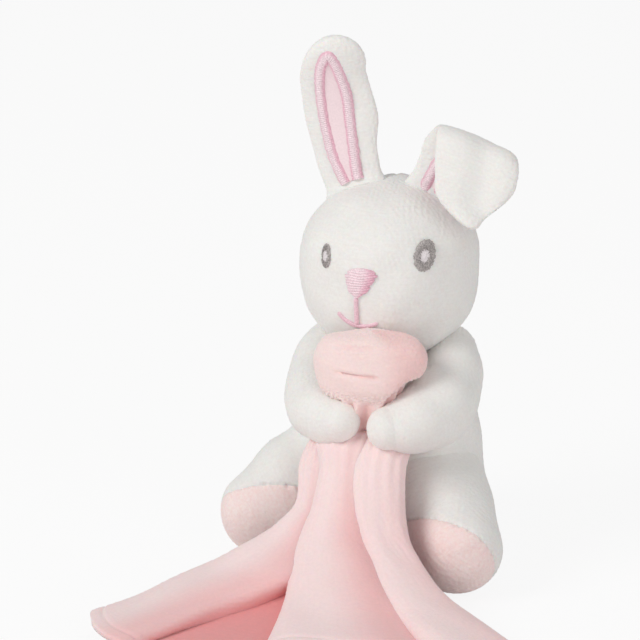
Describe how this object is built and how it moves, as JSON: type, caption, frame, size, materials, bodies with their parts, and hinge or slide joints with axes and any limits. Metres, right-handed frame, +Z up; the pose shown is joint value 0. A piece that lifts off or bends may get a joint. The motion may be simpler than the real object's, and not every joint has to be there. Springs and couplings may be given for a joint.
{
  "type": "comfort blanket lovey",
  "caption": "Seated plush bunny comforter with an upright and a folded ear, hugging a small blanket that is gathered under its chin and falls in folds to the floor.",
  "frame": {"origin": "centre of the flat seat under the body, on the surface that the toy sits on", "axes": "+Z up, the face looks along -Y, the toy's own left is +X"},
  "size_m": [0.1505, 0.1814, 0.1955],
  "materials": {
    "white_plush": "short-pile white plush",
    "pink_plush": "short-pile pale pink plush",
    "blanket_cloth": "soft pink velour, sewn in two layers",
    "ear_satin": "pale pink lining with satin-stitch edge",
    "polyester_fibre": "loose white polyester fibre",
    "grey_thread": "grey satin-stitch embroidery",
    "white_thread": "off-white satin-stitch embroidery",
    "pink_thread": "pink satin-stitch embroidery"
  },
  "bodies": {
    "body": {"body_cover": "white_plush", "body_stuffing": "polyester_fibre", "left_arm_cover": "white_plush", "left_arm_stuffing": "polyester_fibre", "right_arm_cover": "white_plush", "right_arm_stuffing": "polyester_fibre", "tail": "white_plush", "blanket_gather": "blanket_cloth", "blanket_drape": "blanket_cloth"},
    "head": {"head_cover": "white_plush", "head_stuffing": "polyester_fibre", "left_eye_ring": "grey_thread", "left_eye_white": "white_thread", "right_eye_ring": "grey_thread", "right_eye_white": "white_thread", "nose": "pink_thread", "nose_line": "pink_thread", "mouth": "pink_thread"},
    "right_ear": {"right_ear": "white_plush", "right_ear_lining": "ear_satin"},
    "left_ear": {"left_ear": "white_plush", "left_ear_lining": "ear_satin"},
    "left_leg": {"left_leg_cover": "white_plush", "left_foot_cap": "pink_plush", "left_leg_stuffing": "polyester_fibre"},
    "right_leg": {"right_leg_cover": "white_plush", "right_foot_cap": "pink_plush", "right_leg_stuffing": "polyester_fibre"},
    "blanket_front": {"blanket_front": "blanket_cloth"}
  },
  "joints": [
    {"name": "head_turn", "type": "hinge", "parent": "body", "child": "head", "pos_m": [0, -0.003, 0.08], "axis": [0, 0, 1], "range_deg": [-25, 25]},
    {"name": "right_ear_swing", "type": "hinge", "parent": "head", "child": "right_ear", "pos_m": [-0.01351, -0.003, 0.14201], "axis": [0.9397, 0, 0.342], "range_deg": [-35, 40], "stiffness_Nm_per_rad": 0.01},
    {"name": "left_ear_lift", "type": "hinge", "parent": "head", "child": "left_ear", "pos_m": [0.01749, -0.003, 0.14046], "axis": [-0.9455, 0, 0.3256], "range_deg": [0, 40]},
    {"name": "left_leg_splay", "type": "hinge", "parent": "body", "child": "left_leg", "pos_m": [0.02208, -0.01852, 0.025], "axis": [0, 0, 1], "range_deg": [0, 35]},
    {"name": "right_leg_splay", "type": "hinge", "parent": "body", "child": "right_leg", "pos_m": [-0.02733, -0.01333, 0.025], "axis": [0, 0, 1], "range_deg": [-20, 0]},
    {"name": "blanket_lift", "type": "hinge", "parent": "body", "child": "blanket_front", "pos_m": [0, -0.062, 0.0405], "axis": [-1, 0, 0], "range_deg": [0, 45]}
  ]
}
